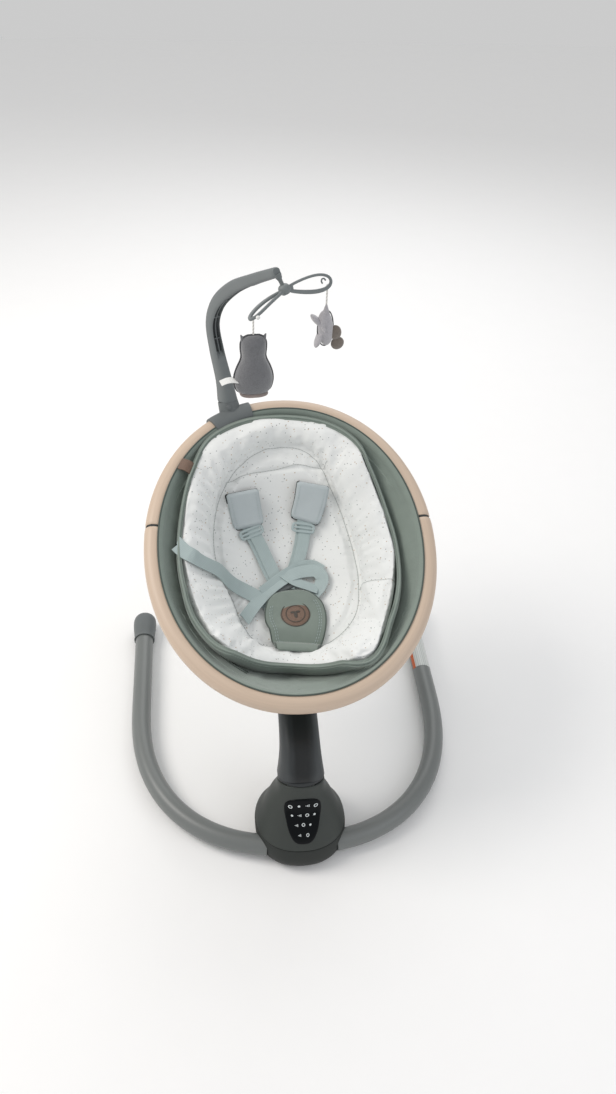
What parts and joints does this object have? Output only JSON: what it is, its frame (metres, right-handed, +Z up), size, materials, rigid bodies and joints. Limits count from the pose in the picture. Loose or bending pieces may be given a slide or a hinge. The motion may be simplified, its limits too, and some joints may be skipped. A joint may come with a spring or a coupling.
{
  "type": "baby swing",
  "caption": "Motorised baby swing with a tube base, tilted swinging arm, swivelling and reclining oval seat with harness, and a toy bar with a spinning mobile.",
  "frame": {"origin": "on the floor under the middle of the drive housing, on the underside of its rubber pad", "axes": "+Z up, -Y towards the foot end of the seat and the front of the housing, +X to the right when looking along +Y"},
  "size_m": [0.65, 0.7116, 0.9164],
  "materials": {
    "grey_steel": "satin powder coat",
    "bare_steel": "brushed",
    "dark_plastic": "fine moulded texture",
    "housing_plastic": "satin moulded",
    "panel_gloss": "high gloss",
    "rim_plastic": "satin",
    "sage_fabric": "woven",
    "speckled_jersey": "soft jersey",
    "webbing": "woven tape",
    "tan_leather": "smooth",
    "felt": "felt",
    "cord_white": "twisted cord",
    "copper_wire": "enamelled winding",
    "circuit_board": "solder mask",
    "black_rubber": "matte"
  },
  "bodies": {
    "base": {"base_tube_left": "grey_steel", "base_tube_right": "grey_steel", "end_cap_left": "dark_plastic", "end_cap_right": "dark_plastic", "housing_lower": "housing_plastic", "housing_upper": "housing_plastic", "control_panel": "panel_gloss", "control_board": "circuit_board", "speaker": "dark_plastic", "power_socket": "black_rubber", "floor_pad": "black_rubber", "housing_screw_1": "bare_steel", "housing_screw_2": "bare_steel", "housing_screw_3": "bare_steel", "bearing_frame": "bare_steel", "pivot_bearing_upper": "bare_steel", "pivot_bearing_lower": "bare_steel", "drive_coil": "copper_wire"},
    "swing_arm": {"pivot_shaft": "bare_steel", "magnet_lever": "dark_plastic", "drive_magnet": "bare_steel", "collar": "dark_plastic", "arm_shell": "housing_plastic", "arm_cover": "dark_plastic", "seat_hub": "dark_plastic"},
    "release_button": {"seat_release_button": "dark_plastic"},
    "carrier": {"swivel_plate": "bare_steel", "recline_bracket": "bare_steel", "recline_pin": "bare_steel"},
    "seat": {"seat_base": "dark_plastic", "cradle_hoop": "grey_steel", "rim_head_half": "rim_plastic", "rim_foot_half": "rim_plastic", "rim_joint_left": "dark_plastic", "rim_joint_right": "dark_plastic", "seat_cover": "sage_fabric", "insert_pad": "speckled_jersey", "shoulder_pad_left": "webbing", "shoulder_pad_right": "webbing", "strap_adjuster_left": "dark_plastic", "strap_adjuster_right": "dark_plastic", "shoulder_strap_left": "webbing", "shoulder_strap_right": "webbing", "harness_buckle": "dark_plastic", "waist_strap_left": "webbing", "waist_strap_right": "webbing", "crotch_pad": "sage_fabric", "crotch_badge": "tan_leather", "side_tag": "tan_leather", "toy_bar_clamp": "dark_plastic"},
    "lever": {"recline_lever": "dark_plastic"},
    "toy_bar_button": {"toy_bar_release": "dark_plastic"},
    "toy_bar": {"toy_bar_arm": "dark_plastic"},
    "mobile": {"mobile_hub": "dark_plastic", "mobile_vane_left": "dark_plastic", "mobile_vane_right": "dark_plastic"},
    "owl": {"owl_toy": "felt", "owl_cord": "cord_white"},
    "bird": {"bird_toy": "felt", "bird_cord": "cord_white"}
  },
  "joints": [
    {"name": "swing", "type": "hinge", "parent": "base", "child": "swing_arm", "pos_m": [0, 0.043, 0.146], "axis": [0, 0.4226, 0.9063], "range_deg": [-15, 15]},
    {"name": "release_press", "type": "slide", "parent": "swing_arm", "child": "release_button", "axis": [0, -1, 0], "range_m": [0, 0.004], "stiffness_N_per_m": 400},
    {"name": "seat_swivel", "type": "hinge", "parent": "swing_arm", "child": "carrier", "pos_m": [0, 0.33, 0.245], "axis": [0, 0, 1], "continuous": true},
    {"name": "recline", "type": "hinge", "parent": "carrier", "child": "seat", "pos_m": [0, 0.33, 0.264], "axis": [1, 0, 0], "range_deg": [-10, 0]},
    {"name": "lever_lift", "type": "hinge", "parent": "seat", "child": "lever", "pos_m": [0, 0.407, 0.273], "axis": [1, 0, 0], "range_deg": [0, 15], "stiffness_Nm_per_rad": 0.6},
    {"name": "toy_bar_press", "type": "slide", "parent": "seat", "child": "toy_bar_button", "axis": [0, 0.9422, -0.3351], "range_m": [0, 0.0025], "stiffness_N_per_m": 400},
    {"name": "toy_bar_turn", "type": "hinge", "parent": "seat", "child": "toy_bar", "pos_m": [-0.0965, 0.591, 0.559], "axis": [-0.19, 0.329, 0.925], "range_deg": [-90, 90]},
    {"name": "mobile_spin", "type": "hinge", "parent": "toy_bar", "child": "mobile", "pos_m": [-0.0097, 0.456, 0.882], "axis": [-0.4316, 0.2105, 0.8772], "range_deg": [-70, 50]},
    {"name": "owl_swing", "type": "hinge", "parent": "mobile", "child": "owl", "pos_m": [-0.0634, 0.3996, 0.8592], "axis": [1, 0, 0], "range_deg": [-25, 25]},
    {"name": "bird_swing", "type": "hinge", "parent": "mobile", "child": "bird", "pos_m": [0.0655, 0.4962, 0.8663], "axis": [0.8644, 0.5028, 0], "range_deg": [-25, 25]}
  ]
}
